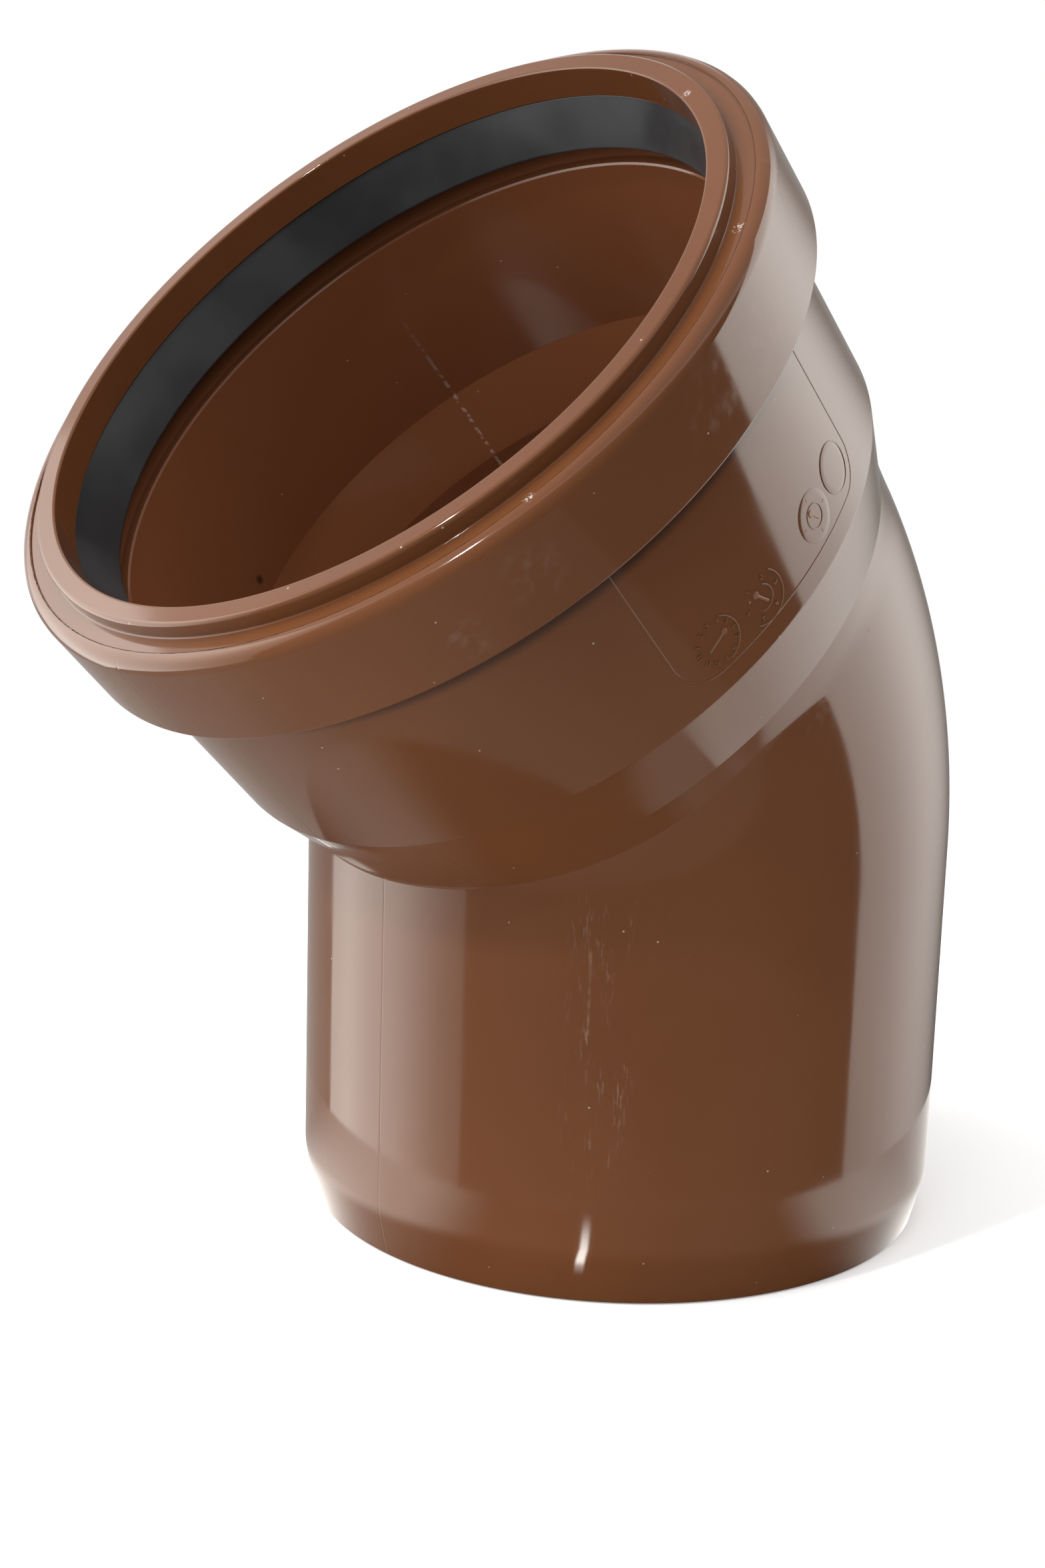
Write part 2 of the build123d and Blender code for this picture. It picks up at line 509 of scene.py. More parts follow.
# %% Rings
FINE = np.radians([-0.35, -0.12, 0.0, 0.12, 0.35])
EVEN = np.radians(np.arange(1.2, 179.0, 1.2))
ANGLES = np.concatenate([FINE, EVEN, np.pi + FINE, np.pi + EVEN])
LINE_DEPTH = 0.03
SLIMMEST = 0.9


def round_about(outward, angles):
    """Unit directions at the angles, measured from outward towards the side."""
    return np.cos(angles)[:, None] * outward + np.sin(angles)[:, None] * ACROSS


def slimming(along):
    """How much slimmer the neck and shoulder are on the sides and the back than on the inner side."""
    side = np.clip((np.arccos(np.cos(ANGLES)) - math.radians(25)) / math.radians(50), 0, 1)
    up_neck = (along - NECK_START) / (SHOULDER_START - NECK_START)
    down_shoulder = (BARREL_START - along) / (BARREL_START - SHOULDER_START)
    return SLIMMEST * side ** 2 * (3 - 2 * side) * np.clip(np.minimum(up_neck, down_shoulder), 0, 1)


def ring(place, radius, line_depth=0.0):
    middle, outward = place
    reach = np.zeros(len(ANGLES)) + radius
    reach[np.isin(ANGLES, [0.0, np.pi])] -= line_depth
    return middle + reach[:, None] * round_about(outward, ANGLES)


print("points in a ring:", len(ANGLES))

# %% [markdown]
# ### From rings to a mesh
#
# The last ring is joined to the first, so the wall is closed. The mesh gets a UV map in metres, and
# a number at each point, called Inside, which is 1 on the inner wall and 0 on the outer. The plastic
# reads it to paint the inner wall lighter, as painted light for the light that falls into the socket.

# %% Rings to mesh
def lay_up(name, rings, inside_from=None):
    """Joins closed rings into one closed skin, the last ring to the first."""
    count, points = len(rings[0]), np.concatenate(rings) * MM
    row, column = np.meshgrid(np.arange(len(rings)), np.arange(count), indexing="ij")
    next_row, next_column = (row + 1) % len(rings), (column + 1) % count
    quads = np.stack([row * count + column, row * count + next_column,
                      next_row * count + next_column, next_row * count + column], -1).reshape(-1, 4)
    mesh = bpy.data.meshes.new(name)
    mesh.from_pydata(points.tolist(), [], quads.tolist())
    mesh.uv_layers.new(name="Wall").data.foreach_set("uv", wall_map(rings, row, column))
    if inside_from is not None:
        share = (np.arange(len(points)) >= inside_from * count).astype(np.float32)
        mesh.attributes.new("Inside", "FLOAT", "POINT").data.foreach_set("value", share)
    mesh.shade_smooth()
    mesh.set_sharp_from_angle(angle=math.radians(28))
    return put_in_scene(name, mesh)


def wall_map(rings, row, column):
    """The UV map: the way round the pipe and the way along the wall, both in metres."""
    quarter = len(ANGLES) // 4
    steps = [np.linalg.norm(after[quarter] - before[quarter]) for before, after in zip(rings, rings[1:])]
    lengths = np.concatenate([[0.0], np.cumsum(steps)])
    turn = np.append(ANGLES, ANGLES[0] + 2 * np.pi) * PIPE * MM
    run = np.append(lengths, lengths[-1] + np.linalg.norm(rings[0][0] - rings[-1][0])) * MM
    u = np.stack([turn[column], turn[column + 1], turn[column + 1], turn[column]], -1)
    v = np.stack([run[row], run[row], run[row + 1], run[row + 1]], -1)
    return np.stack([u, v], -1).astype(np.float32).ravel()


print("helpers:", [h.__name__ for h in (lay_up, wall_map)])

# %% [markdown]
# ### The crease at the neck
#
# The socket's neck flares a little, so it comes out of the bent tube along a crease that dips on the
# inner side of the bend and climbs towards the outer side. Each lengthwise line of points is run up
# the tube to where the neck crosses it, over a small rounding, and on up the neck. The rounding is
# tight on the inner side and grows towards the outer side, where the crease dies away.

# %% Points on the tube and on the neck
def on_pipe(along, angles, radius):
    """Points on the bent tube, by distance along its middle line, angle round it and radius."""
    bend = np.clip((along - SPIGOT_LENGTH) / BEND_RADIUS, 0, TURN)
    middle_z = np.minimum(along, SPIGOT_LENGTH) + BEND_RADIUS * np.sin(bend)
    middle = np.stack([BEND_RADIUS * (1 - np.cos(bend)), 0 * bend, middle_z], -1)
    outward = np.stack([np.cos(bend), 0 * bend, -np.sin(bend)], -1)
    return middle + radius[:, None] * round_about(outward, angles)


def from_pipe(points):
    """The same three numbers for given points."""
    bend = np.clip(np.arctan2(points[:, 2] - SPIGOT_LENGTH, BEND_RADIUS - points[:, 0]), 0, TURN)
    along = np.where(bend > 0, SPIGOT_LENGTH + BEND_RADIUS * bend, points[:, 2])
    middle_x = BEND_RADIUS * (1 - np.cos(bend))
    middle_z = np.where(bend > 0, SPIGOT_LENGTH + BEND_RADIUS * np.sin(bend), points[:, 2])
    out = (points[:, 0] - middle_x) * np.cos(bend) - (points[:, 2] - middle_z) * np.sin(bend)
    return along, np.arctan2(points[:, 1], out), np.hypot(out, points[:, 1])


def on_neck(along, sink=0.0):
    """One point for each angle on the flared neck, sunk by that much."""
    flare = (along - NECK_START) * (NECK_TOP - NECK_ROOT) / (SHOULDER_START - NECK_START)
    radius = NECK_ROOT + flare - sink - slimming(along)
    return AXES_MEET + along[:, None] * UP_SOCKET + radius[:, None] * round_about(OUT_SOCKET, ANGLES)


inner_end = on_pipe(np.array([SPIGOT_LENGTH + BEND_RADIUS * TURN]), np.array([0.0]), np.array([PIPE]))
print("the elbow's inner side ends at", inner_end[0].round(1).tolist())

# %% Crease
# For each lengthwise line, the place where the neck leaves the tube is found by halving.
low, high = np.full(len(ANGLES), NECK_START), np.full(len(ANGLES), SHOULDER_START)
for halving in range(40):
    middle = (low + high) / 2
    outside = from_pipe(on_neck(middle))[2] > PIPE
    low, high = np.where(outside, low, middle), np.where(outside, middle, high)
crease_at = low
crease_along, crease_angle, _ = from_pipe(on_neck(crease_at))
crease_angle = np.where(crease_angle < -0.02, crease_angle + 2 * np.pi, crease_angle)
print(f"crease runs from {crease_along.min():.1f} to {crease_along.max():.1f} mm along the tube")

# %% The moulding
grooved = np.where(np.isin(ANGLES, [0.0, np.pi]), LINE_DEPTH, 0.0)
rounding = 0.35 + 3.2 * ((1 - np.cos(ANGLES)) / 2) ** 1.5
before, after = crease_along - rounding, crease_at + rounding
start = on_pipe(before, crease_angle, PIPE - grooved)
corner = on_neck(crease_at, grooved)
end = on_neck(after, grooved)
body_rings = [ring(on_spigot(height), radius, LINE_DEPTH) for radius, height in spigot_outside]
for share in np.linspace(0, 1, 41)[1:-1]:
    turned = ANGLES + (crease_angle - ANGLES) * share ** 2
    body_rings.append(on_pipe(STRAIGHT_TOP + (before - STRAIGHT_TOP) * share, turned, PIPE - grooved))
for share in np.linspace(0, 1, 9):
    body_rings.append((1 - share) ** 2 * start + 2 * share * (1 - share) * corner + share ** 2 * end)
for share in (0.25, 0.5, 0.75):
    body_rings.append(on_neck(after + (socket_outside[0][1] - after) * share, grooved))
for radius, along in socket_outside:
    if along < COLLAR_TOP - 0.3:
        body_rings.append(ring(on_socket(along), radius - slimming(along), LINE_DEPTH))
    else:
        body_rings.append(ring(on_socket(along), radius))
first_inside = len(body_rings)
body_rings += [ring(on_socket(along), radius) for radius, along in socket_inside]
body_rings += [ring(on_elbow(TURN * k / 30), BORE) for k in range(29, 0, -1)]
body_rings += [ring(on_spigot(height), BORE) for height in (SPIGOT_LENGTH, 30.0, 0.4, 0.0)]
body = lay_up("bend_moulding", body_rings, first_inside)
print("moulding:", len(body.data.polygons), "faces from", len(body_rings), "rings")

# %% [markdown]
# ## The lip seal
#
# A rubber ring sits in the groove behind the collar. Its lip leans inwards and away from the mouth,
# so that a pipe pushed in folds it flat. With no pipe in the socket, the lip springs in a little
# further than the wall that guides the pipe. One outline could be spun by a Screw modifier, but
# rings are at hand, and they turn with the leaning socket by themselves.

# %% The seal
RING_TOP, RING_BOTTOM = GROOVE_TOP - 0.2, FLANK_TOP + 0.2
seal_outline = soften([
    (MOUTH + 0.2, RING_TOP, 0.15), (53.75, RING_TOP - 8.6, 0.35), (55.4, RING_TOP - 8.75, 0.45),
    (GROOVE - 2.0, RING_BOTTOM + 4.6, 0.5), (GROOVE - 2.0, RING_BOTTOM, 0.3),
    (GROOVE - 0.2, RING_BOTTOM, 0.3), (GROOVE - 0.2, RING_TOP, 0.3)], steps=5, guard=0.1)
seal_rings = [ring(on_socket(along), radius) for radius, along in seal_outline]
seal = lay_up("lip_seal", seal_rings)
print("seal:", len(seal.data.polygons), "faces from", len(seal_rings), "rings")

# %% [markdown]
# ## Marks left by the mould
#
# A mould carries small exchangeable inserts. The edge of one leaves a fine raised line with rounded
# corners, and round date dials leave rings, an arrow and tiny numbers. None is as much as two tenths
# of a millimetre high. They could be painted on as bump, but real relief catches light from every
# side. Each mark is drawn flat in millimetres, x round the barrel, y along it and z out of it, and
# then wrapped on the barrel. Geometry Nodes set out the ticks, and text gives the plain numbers.

# %% Ridges
SINK = 0.06
RIDGE_PROFILE = ((-0.5, None), (-0.38, 0.6), (-0.18, 1.0), (0.18, 1.0), (0.38, 0.6), (0.5, None))


def ridge(path, width, height, closed=False):
    """A low rib along a path of flat points. Its profile has six points, the outer two sunk."""
    path = np.array(path, float)
    step = (np.roll(path, -1, 0) - np.roll(path, 1, 0)) if closed else np.gradient(path, axis=0)
    side = np.stack([-step[:, 1], step[:, 0]], 1) / np.linalg.norm(step, axis=1)[:, None]
    rows = []
    for share, part in RIDGE_PROFILE:
        lift = -SINK if part is None else height * part
        rows.append(np.column_stack([path + side * width * share, np.full(len(path), lift)]))
    count, lines = len(path), len(rows)
    faces = []
    for a in range(lines):
        b = (a + 1) % lines
        for i in range(count if closed else count - 1):
            j = (i + 1) % count
            faces.append((a * count + i, a * count + j, b * count + j, b * count + i))
    if not closed:
        faces.append(tuple(count * k for k in range(lines)))
        faces.append(tuple(count * (k + 1) - 1 for k in reversed(range(lines))))
    return np.concatenate(rows), [tuple(reversed(face)) for face in faces]


def bow(radius, start, end, steps=40):
    turn = np.radians(np.linspace(start, end, steps))
    return np.stack([radius * np.cos(turn), radius * np.sin(turn)], 1)


print("points in a ridge's profile:", len(RIDGE_PROFILE))

# %% Plates and arrows
def plate(radius, height, steps=48):
    """A low round plate, with rings enough to follow the barrel."""
    rings = [(radius, -SINK), (radius, height * 0.6), (radius - 0.08, height)]
    rings += [(radius * k / 4, height) for k in (3, 2, 1)]
    turn = np.linspace(0, 2 * np.pi, steps, endpoint=False)
    rows = [np.stack([r * np.cos(turn), r * np.sin(turn), np.full(steps, z)], 1) for r, z in rings]
    points = np.concatenate(rows + [[[0, 0, height]], [[0, 0, -SINK]]])
    last, top = (len(rings) - 1) * steps, len(rings) * steps
    faces = []
    for k in range(0, last, steps):
        for i in range(steps):
            j = (i + 1) % steps
            faces.append((k + i, k + j, k + steps + j, k + steps + i))
    faces += [(last + i, last + (i + 1) % steps, top) for i in range(steps)]
    faces += [((i + 1) % steps, i, top + 1) for i in range(steps)]
    return points, faces


def unit(degrees):
    return np.array([math.cos(math.radians(degrees)), math.sin(math.radians(degrees))])


def arrow(angle, length, width, height):
    way = unit(angle)
    bar = ridge([way * length * share for share in (-0.5, -0.2, 0.2, 0.5)], width, height)
    head, faces = plate(width * 1.1, height, 16)
    return [bar, (head + np.append(way * length / 2, 0), faces)]


print("faces in a plate:", len(plate(1.0, 0.1)[1]))

# %% Numbers
def made_plain(made):
    """The evaluated object as flat points and faces; the object is then let go."""
    bpy.context.scene.collection.objects.link(made)
    bpy.context.view_layer.update()
    mesh = bpy.data.meshes.new_from_object(made.evaluated_get(bpy.context.evaluated_depsgraph_get()))
    points = np.empty(len(mesh.vertices) * 3)
    mesh.vertices.foreach_get("co", points)
    bpy.data.objects.remove(made)
    return points.reshape(-1, 3), [tuple(face.vertices) for face in mesh.polygons]


def numbers(values, radius, size, first_angle, height):
    """Plain numbers round a dial, clockwise, with their feet to the middle."""
    shapes = []
    for i, value in enumerate(values):
        angle = first_angle - 360 * i / len(values)
        writing = bpy.data.curves.new("dial_number", "FONT")
        writing.body = str(value)
        writing.size = size
        writing.extrude = height / 2 + SINK / 2
        writing.resolution_u = 2
        writing.align_x = writing.align_y = "CENTER"
        writing.offset = 0.012
        points, faces = made_plain(bpy.data.objects.new("dial_number", writing))
        c, s = unit(angle - 90)
        points = points @ np.array([[c, s, 0], [-s, c, 0], [0, 0, 1]])
        place = np.append(radius * unit(angle), (height - SINK) / 2)
        shapes.append((points + place, faces))
    return shapes


print("helpers:", [h.__name__ for h in (made_plain, numbers)])

# %% Ticks by Geometry Nodes
plastic, plastic_tree, plastic_shader = material("orange_brown_plastic", 0.08)
ticks_tree = bpy.data.node_groups.new("ticks_round_a_dial", "GeometryNodeTree")
ticks_in = {}
for label, kind, value in (("Count", "NodeSocketInt", 4), ("Dial Radius", "NodeSocketFloat", 3.0),
                           ("Tick Length", "NodeSocketFloat", 0.6), ("Tick Width", "NodeSocketFloat", 0.2)):
    socket = ticks_tree.interface.new_socket(name=label, in_out="INPUT", socket_type=kind)
    socket.default_value = value
    ticks_in[label] = socket.identifier
ticks_tree.interface.new_socket(name="Geometry", in_out="OUTPUT", socket_type="NodeSocketGeometry")


def geometry_node(kind, **sockets):
    node = ticks_tree.nodes.new(kind)
    for key, source in sockets.items():
        feed(ticks_tree, node.inputs[key.replace("_", " ")], source)
    return node


given = ticks_tree.nodes.new("NodeGroupInput").outputs
spots = geometry_node("GeometryNodeMeshCircle", Vertices=given["Count"], Radius=given["Dial Radius"])
size = geometry_node("ShaderNodeCombineXYZ", X=given["Tick Length"], Y=given["Tick Width"], Z=0.2)
tick = geometry_node("GeometryNodeMeshCube", Size=size.outputs[0])
where = ticks_tree.nodes.new("GeometryNodeInputPosition")
facing = geometry_node("FunctionNodeAlignRotationToVector", Vector=where.outputs[0])
facing.axis = "X"
copies = geometry_node("GeometryNodeInstanceOnPoints", Points=spots.outputs[0],
                       Instance=tick.outputs["Mesh"], Rotation=facing.outputs[0])
solid = geometry_node("GeometryNodeRealizeInstances", Geometry=copies.outputs[0])
painted = geometry_node("GeometryNodeSetMaterial", Geometry=solid.outputs[0], Material=plastic)
leaves = ticks_tree.nodes.new("NodeGroupOutput")
ticks_tree.links.new(painted.outputs[0], leaves.inputs[0])


def ticks(count, radius, length, width):
    carrier = bpy.data.objects.new("dial_ticks", bpy.data.meshes.new("dial_ticks"))
    modifier = carrier.modifiers.new("ticks", "NODES")
    modifier.node_group = ticks_tree
    for identifier, value in zip(ticks_in.values(), (count, radius, length, width)):
        modifier[identifier] = value
    return made_plain(carrier)


print("tick inputs:", list(ticks_in))

# %% Wrapping on the barrel
GLOSSY, FROSTED = 0, 1
marks = []


def barrel_radius(along):
    return BARREL + (along - BARREL_START) * (BARREL_TOP - BARREL) / (LEDGE_HEIGHT - BARREL_START)


def mark(shapes, turn, along, paint=FROSTED):
    """Wraps flat shapes on the barrel, round the place at that turn and distance along the socket."""
    for points, faces in shapes:
        x, y, z = np.asarray(points, float).T
        reach = barrel_radius(along + y) + z
        outward = round_about(OUT_SOCKET, math.radians(turn) + x / BARREL)
        wrapped = AXES_MEET + (along + y)[:, None] * UP_SOCKET + reach[:, None] * outward
        marks.append((wrapped, faces, paint))


print(f"barrel's radius at its foot: {barrel_radius(BARREL_START):.1f} mm")

# %% [markdown]
# ### The panel and its dials
#
# The panel keeps its raised border. In it stand three date dials and one blank round plate. The
# lines of a dial are frosted and a lighter brown, so they stay paler than the gloss round them, while
# the plates and the border are as glossy as the barrel.

# %% The marks on the barrel
RELIEF, BORDER_RELIEF, PLATE_RELIEF, BLANK_RELIEF = 0.16, 0.06, 0.06, 0.08
PANEL_LEFT, PANEL_RIGHT, PANEL_FOOT, CORNER = 65.5, 109.5, 39.8, 6.0
FIRST_DIAL, SECOND_DIAL = (72.6, 44.4), (81.4, 43.9)
THIRD_DIAL, BLANK_PLATE = (95.8, 44.6), (104.1, 45.4)

half = math.radians(PANEL_RIGHT - PANEL_LEFT) / 2 * BARREL
panel_top = LEDGE_HEIGHT - 1.0 - PANEL_FOOT
border = np.concatenate([
    [(-half, y) for y in np.linspace(panel_top, CORNER + 1, 12)],
    bow(CORNER, 180, 270, 12) + [CORNER - half, CORNER],
    [(x, 0.0) for x in np.linspace(CORNER - half + 1, half - CORNER - 1, 30)],
    bow(CORNER, 270, 360, 12) + [half - CORNER, CORNER],
    [(half, y) for y in np.linspace(CORNER + 1, panel_top, 12)]])
mark([ridge(border, 0.4, BORDER_RELIEF)], (PANEL_LEFT + PANEL_RIGHT) / 2, PANEL_FOOT, GLOSSY)
mark([ridge(bow(3.9, -80, 55), 0.22, RELIEF), *arrow(18, 3.6, 0.45, RELIEF),
      *numbers(range(1, 13), 3.25, 1.1, 150, RELIEF)], *FIRST_DIAL)
mark([ridge(bow(4.1, -130, 40), 0.22, RELIEF), ridge(bow(2.0, -120, 60), 0.22, RELIEF),
      *arrow(118, 2.8, 0.5, RELIEF), *numbers(range(1, 7), 3.05, 1.15, 120, RELIEF)], *SECOND_DIAL)
mark([plate(3.9, PLATE_RELIEF)], *THIRD_DIAL, GLOSSY)
mark([ridge(bow(1.85, 0, 354), 0.25, RELIEF, True), *arrow(118, 2.0, 0.55, RELIEF),
      ticks(4, 2.9, 0.5, 0.16)], *THIRD_DIAL)
mark([plate(3.75, BLANK_RELIEF), ridge(bow(3.75, 0, 354), 0.25, RELIEF * 0.8, True)], *BLANK_PLATE, GLOSSY)
print("marks:", len(marks), "shapes")

# %% One mesh of marks
starts = np.cumsum([0] + [len(points) for points, faces, paint in marks])
marks_points = np.concatenate([points for points, faces, paint in marks]) * MM
marks_faces = [tuple(i + int(first) for i in face)
               for first, (points, faces, paint) in zip(starts, marks) for face in faces]
marks_mesh = bpy.data.meshes.new("mould_marks")
marks_mesh.from_pydata(marks_points.tolist(), [], marks_faces)
marks_mesh.polygons.foreach_set("material_index", [paint for points, faces, paint in marks for face in faces])
marks_mesh.shade_smooth()
marks_mesh.set_sharp_from_angle(angle=math.radians(60))
mould_marks = put_in_scene("mould_marks", marks_mesh)
print("marks:", len(marks_mesh.polygons), "faces")

# %% [markdown]
# ## Glossy orange-brown plastic
#
# Unplasticised PVC comes out of the mould with a hard gloss. Real pieces are not flawless: the
# colour drifts a little, dust clings to them, and handling leaves rub marks. A picture wrapped round
# the pipe could carry all this, but it would stretch at the elbow and blur up close. Noise in the
# piece's own coordinates stays sharp, and it stays put from every side.

# %% Places and noise for the plastic
tree, shader = plastic_tree, plastic_shader
place = add(tree, "TexCoord").outputs["Object"]
x, y, z = split(tree, place)
below_meeting = math_node(tree, "SUBTRACT", z, MEETING * MM)
along_socket = math_node(tree, "MULTIPLY", math_node(tree, "ADD", x, below_meeting), math.sin(TURN))
out_of_socket = math_node(tree, "MULTIPLY", math_node(tree, "SUBTRACT", x, below_meeting), math.sin(TURN))
way = heading(tree, x, y)
socket_way = heading(tree, out_of_socket, y)
inside = add(tree, "Attribute", attribute_name="Inside").outputs["Fac"]


def noise(tree, vector, scale, detail=2.0, stretch=(1, 1, 1)):
    node = add(tree, "TexNoise")
    node.inputs["Scale"].default_value = scale
    node.inputs["Detail"].default_value = detail
    stretched = add(tree, "VectorMath", operation="MULTIPLY")
    feed(tree, stretched.inputs[0], vector)
    feed(tree, stretched.inputs[1], stretch)
    feed(tree, node.inputs["Vector"], stretched.outputs[0])
    return node.outputs["Fac"]


def around(tree, place, centre, radius):
    """1 at a place on the pipe and 0 beyond the radius, both in mm."""
    away = add(tree, "VectorMath", operation="DISTANCE")
    feed(tree, away.inputs[0], place)
    feed(tree, away.inputs[1], [c * MM for c in centre])
    return ramp(tree, away.outputs["Value"], radius * MM * 0.25, radius * MM, 1.0, 0.0)


def spotted(tree, spots):
    return either(tree, *[around(tree, place, centre, radius) for centre, radius in spots])


print("plastic nodes for places:", len(tree.nodes))

# %% [markdown]
# ### Wear, each mark in its place
#
# A scuff or a chip needs a place, so each is a soft ball round a point on the pipe, filled with
# noise. Rub marks are a strip up the front of the spigot, filled with noise that is stretched along
# the pipe, with one thin thread down its middle. Inside the mouth there is one long pale line, a
# scratch that is also a painted glint. Dust is the small middles of a few cells of a Voronoi pattern.

# %% Scuffs, chips and soot
SCUFFS = [((54.5, 64.7, 139.8), 9), ((77.8, 55.0, 117.6), 6), ((44.7, 63.7, 148.5), 10),
          ((32.7, 55.9, 166.6), 9), ((17.8, 57.4, 94.3), 7), ((82.4, 47.8, 108.6), 5)]
CHIPS = [((44.4, 57.6, 162.3), 1.3), ((79.4, 55.4, 127.3), 1.2), ((86.9, 52.9, 122.0), 0.7),
         ((27.8, 32.2, 182.4), 1.0), ((-6.8, 54.6, 101.1), 1.6)]
SOOT = [((5.6, 54.7, 112.1), 0.9), ((6.4, 54.6, 105.6), 0.6), ((39.8, -52.8, 104.6), 1.2)]
smear_noise = noise(tree, place, 1.0, 6.0, (520, 520, 380))
smear = times(tree, spotted(tree, SCUFFS), ramp(tree, smear_noise, 0.45, 0.8))
chips = times(tree, spotted(tree, CHIPS), ramp(tree, noise(tree, place, 2600.0, 3.0), 0.5, 0.6))
soot = spotted(tree, SOOT)
print("scuffs, chips and soot spots:", len(SCUFFS), len(CHIPS), len(SOOT))

# %% Rubs, thread, and a scratch with a painted glint
THREAD_HEADING, GLINT_SCRATCH_TURN = 38.4, -126.5
rubs = times(tree, ramp(tree, way, 33, 38), ramp(tree, way, 44, 47, 1.0, 0.0),
             ramp(tree, z, 0.016, 0.03), ramp(tree, z, 0.06, 0.068, 1.0, 0.0),
             ramp(tree, noise(tree, place, 1.0, 4.0, (2600, 2600, 420)), 0.52, 0.66),
             ramp(tree, noise(tree, place, 1.0, 2.0, (420, 420, 90)), 0.45, 0.62))
thread = times(tree, ramp(tree, off(tree, way, THREAD_HEADING), 0.1, 0.35, 1.0, 0.0),
               ramp(tree, z, 0.03, 0.045), ramp(tree, z, 0.062, 0.068, 1.0, 0.0),
               ramp(tree, noise(tree, place, 1.0, 3.0, (60, 60, 330)), 0.4, 0.62))
# A scratch and a painted glint: a pale line down the inner wall where a sun glint falls, broken up by the
# scratch.
scratch_and_glint = times(tree, inside, ramp(tree, off(tree, socket_way, GLINT_SCRATCH_TURN), 0.15, 0.45, 1.0, 0.0),
                ramp(tree, along_socket, 0.018, 0.021), ramp(tree, along_socket, 0.034, 0.052, 1.0, 0.15),
                ramp(tree, along_socket, 0.053, 0.055, 1.0, 0.0),
                ramp(tree, noise(tree, place, 1.0, 2.0, (500, 500, 1100)), 0.42, 0.58))
print("nodes with the rubs:", len(tree.nodes))

# %% Dust, and painted shade under the collar
cells = add(tree, "TexVoronoi")
cells.inputs["Scale"].default_value = 300.0
feed(tree, cells.inputs["Vector"], place)
cell_colour = add(tree, "SeparateColor")
feed(tree, cell_colour.inputs[0], cells.outputs["Color"])
chosen = math_node(tree, "GREATER_THAN", cell_colour.outputs[0], 0.78)
dust = times(tree, ramp(tree, cells.outputs["Distance"], 0.035, 0.06, 1.0, 0.0), chosen)
# Painted shade: the barrel is darkened in a band just under the collar's overhang, where shade falls.
painted_shade = times(tree, ramp(tree, along_socket, (LEDGE_HEIGHT - 5.4) * MM, (LEDGE_HEIGHT - 3.4) * MM),
             ramp(tree, along_socket, LEDGE_HEIGHT * MM, (LEDGE_HEIGHT + 0.05) * MM, 1.0, 0.0),
             ramp(tree, distance_from_axis(tree, out_of_socket, y), 0.0602, 0.0606, 1.0, 0.0),
             math_node(tree, "SUBTRACT", 1.0, inside))
print(f"dirt ends at the collar, {LEDGE_HEIGHT:.1f} mm along the socket")

# %% [markdown]
# ### The plastic put together
#
# The two browns drift into each other, and the inner wall is painted lighter, as painted light for the
# light that falls into the socket. Over them lie painted shade under the collar, then the wear, each
# in its own pale or dark colour and with its own share. What is worn is also less glossy and a
# trifle uneven.

# %% Plastic
drift = ramp(tree, noise(tree, place, 22.0, 3.0), 0.3, 0.7)
outer = blend(tree, drift, (0.116, 0.0412, 0.0158, 1), (0.134, 0.0492, 0.0188, 1))
# Painted light: the inner wall is blended halfway to a lighter brown, for the light that falls into the
# socket.
colour = blend(tree, inside, outer, blend(tree, 0.5, outer, (0.262, 0.092, 0.040, 1)))
for share, tint in (
        # Painted shade under the collar.
        (times(tree, painted_shade, 0.8), (0.022, 0.010, 0.006, 1)),
        (times(tree, smear, 0.1), (0.42, 0.34, 0.30, 1)),
        (times(tree, thread, 0.1), (0.50, 0.40, 0.33, 1)),
        (times(tree, rubs, 0.11), (0.50, 0.40, 0.33, 1)),
        (times(tree, dust, 0.5), (0.55, 0.48, 0.42, 1)),
        # The scratch's pale tint is also a painted glint.
        (either(tree, times(tree, chips, 0.85), times(tree, scratch_and_glint, 0.35)), (0.62, 0.56, 0.52, 1)),
        (times(tree, soot, 0.8), (0.012, 0.010, 0.010, 1))):
    colour = blend(tree, share, colour, tint)
feed(tree, shader.inputs["Base Color"], colour)
worn = either(tree, times(tree, smear, 0.35), times(tree, rubs, 0.7), dust, chips)
gloss = ramp(tree, noise(tree, place, 60.0, 4.0), 0.35, 0.75, 0.07, 0.12)
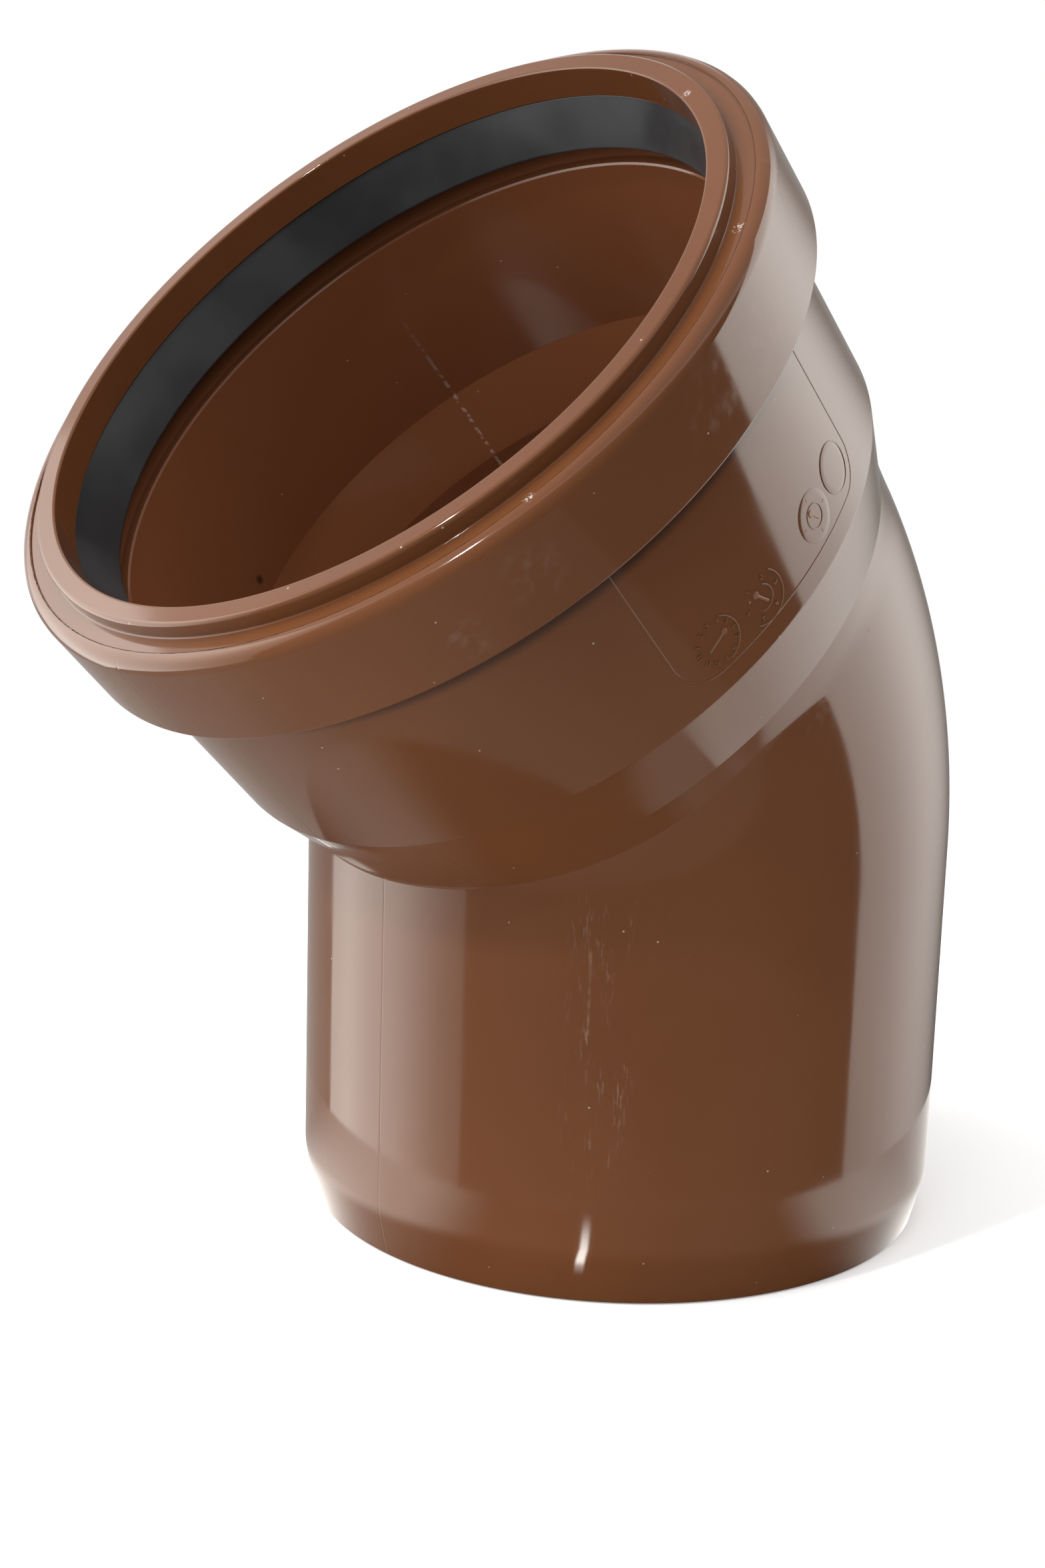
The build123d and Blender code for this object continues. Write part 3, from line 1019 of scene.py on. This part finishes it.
feed(tree, shader.inputs["Roughness"], math_node(tree, "MULTIPLY_ADD", worn, 0.3, gloss))
bump = add(tree, "Bump")
bump.inputs["Strength"].default_value = 0.35
bump.inputs["Distance"].default_value = 0.0001
uneven = math_node(tree, "MULTIPLY_ADD", worn, 0.015, noise(tree, place, 55.0, 1.0))
feed(tree, bump.inputs["Height"], uneven)
feed(tree, shader.inputs["Normal"], bump.outputs["Normal"])
shader.inputs["IOR"].default_value = 1.5
shader.inputs["Specular IOR Level"].default_value = 0.5
body.data.materials.append(plastic)
print("plastic nodes:", len(tree.nodes))

# %% Frosted lines
frosted, tree, shader = material("frosted_plastic", 0.3)
shader.inputs["Base Color"].default_value = (0.168, 0.066, 0.028, 1)
marks_mesh.materials.append(plastic)
marks_mesh.materials.append(frosted)
print("marks are painted with:", [paint.name for paint in marks_mesh.materials])

# %% [markdown]
# ## Black rubber
#
# The seal is a matt black rubber that still catches a blue-grey sheen from the sky. Sheen could be
# turned up for that, but it glows at the edges like cloth. A thin film of noise, from nearly black
# to dark grey and a little rougher where it is paler, is closer to rubber that has been handled.

# %% Rubber
rubber, tree, shader = material("black_rubber", 0.42)
film_noise = noise(tree, add(tree, "TexCoord").outputs["Object"], 60.0, 5.0)
film = ramp(tree, film_noise, 0.3, 0.7)
black = blend(tree, film, (0.019, 0.020, 0.022, 1), (0.036, 0.038, 0.041, 1))
feed(tree, shader.inputs["Base Color"], black)
feed(tree, shader.inputs["Roughness"], ramp(tree, film, 0.0, 1.0, 0.36, 0.46))
seal.data.materials.append(rubber)
print("rubber nodes:", len(tree.nodes))

# %% [markdown]
# ## Hand over
#
# Each piece rides on the one body. The moulding and the seal each stand for the CAD node that they
# replace, which is hidden, and the marks are added to the body.

# %% Hand over
for piece, slot, node in ((body, "body", "bend_body"), (seal, "seal", "sealing_ring")):
    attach(piece, "root")
    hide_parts(node)
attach(mould_marks, "root")
bpy.context.scene.view_settings.view_transform = "Standard"
low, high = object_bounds()
print("box in mm:", [round(v / MM, 2) for v in (*low, *high)])
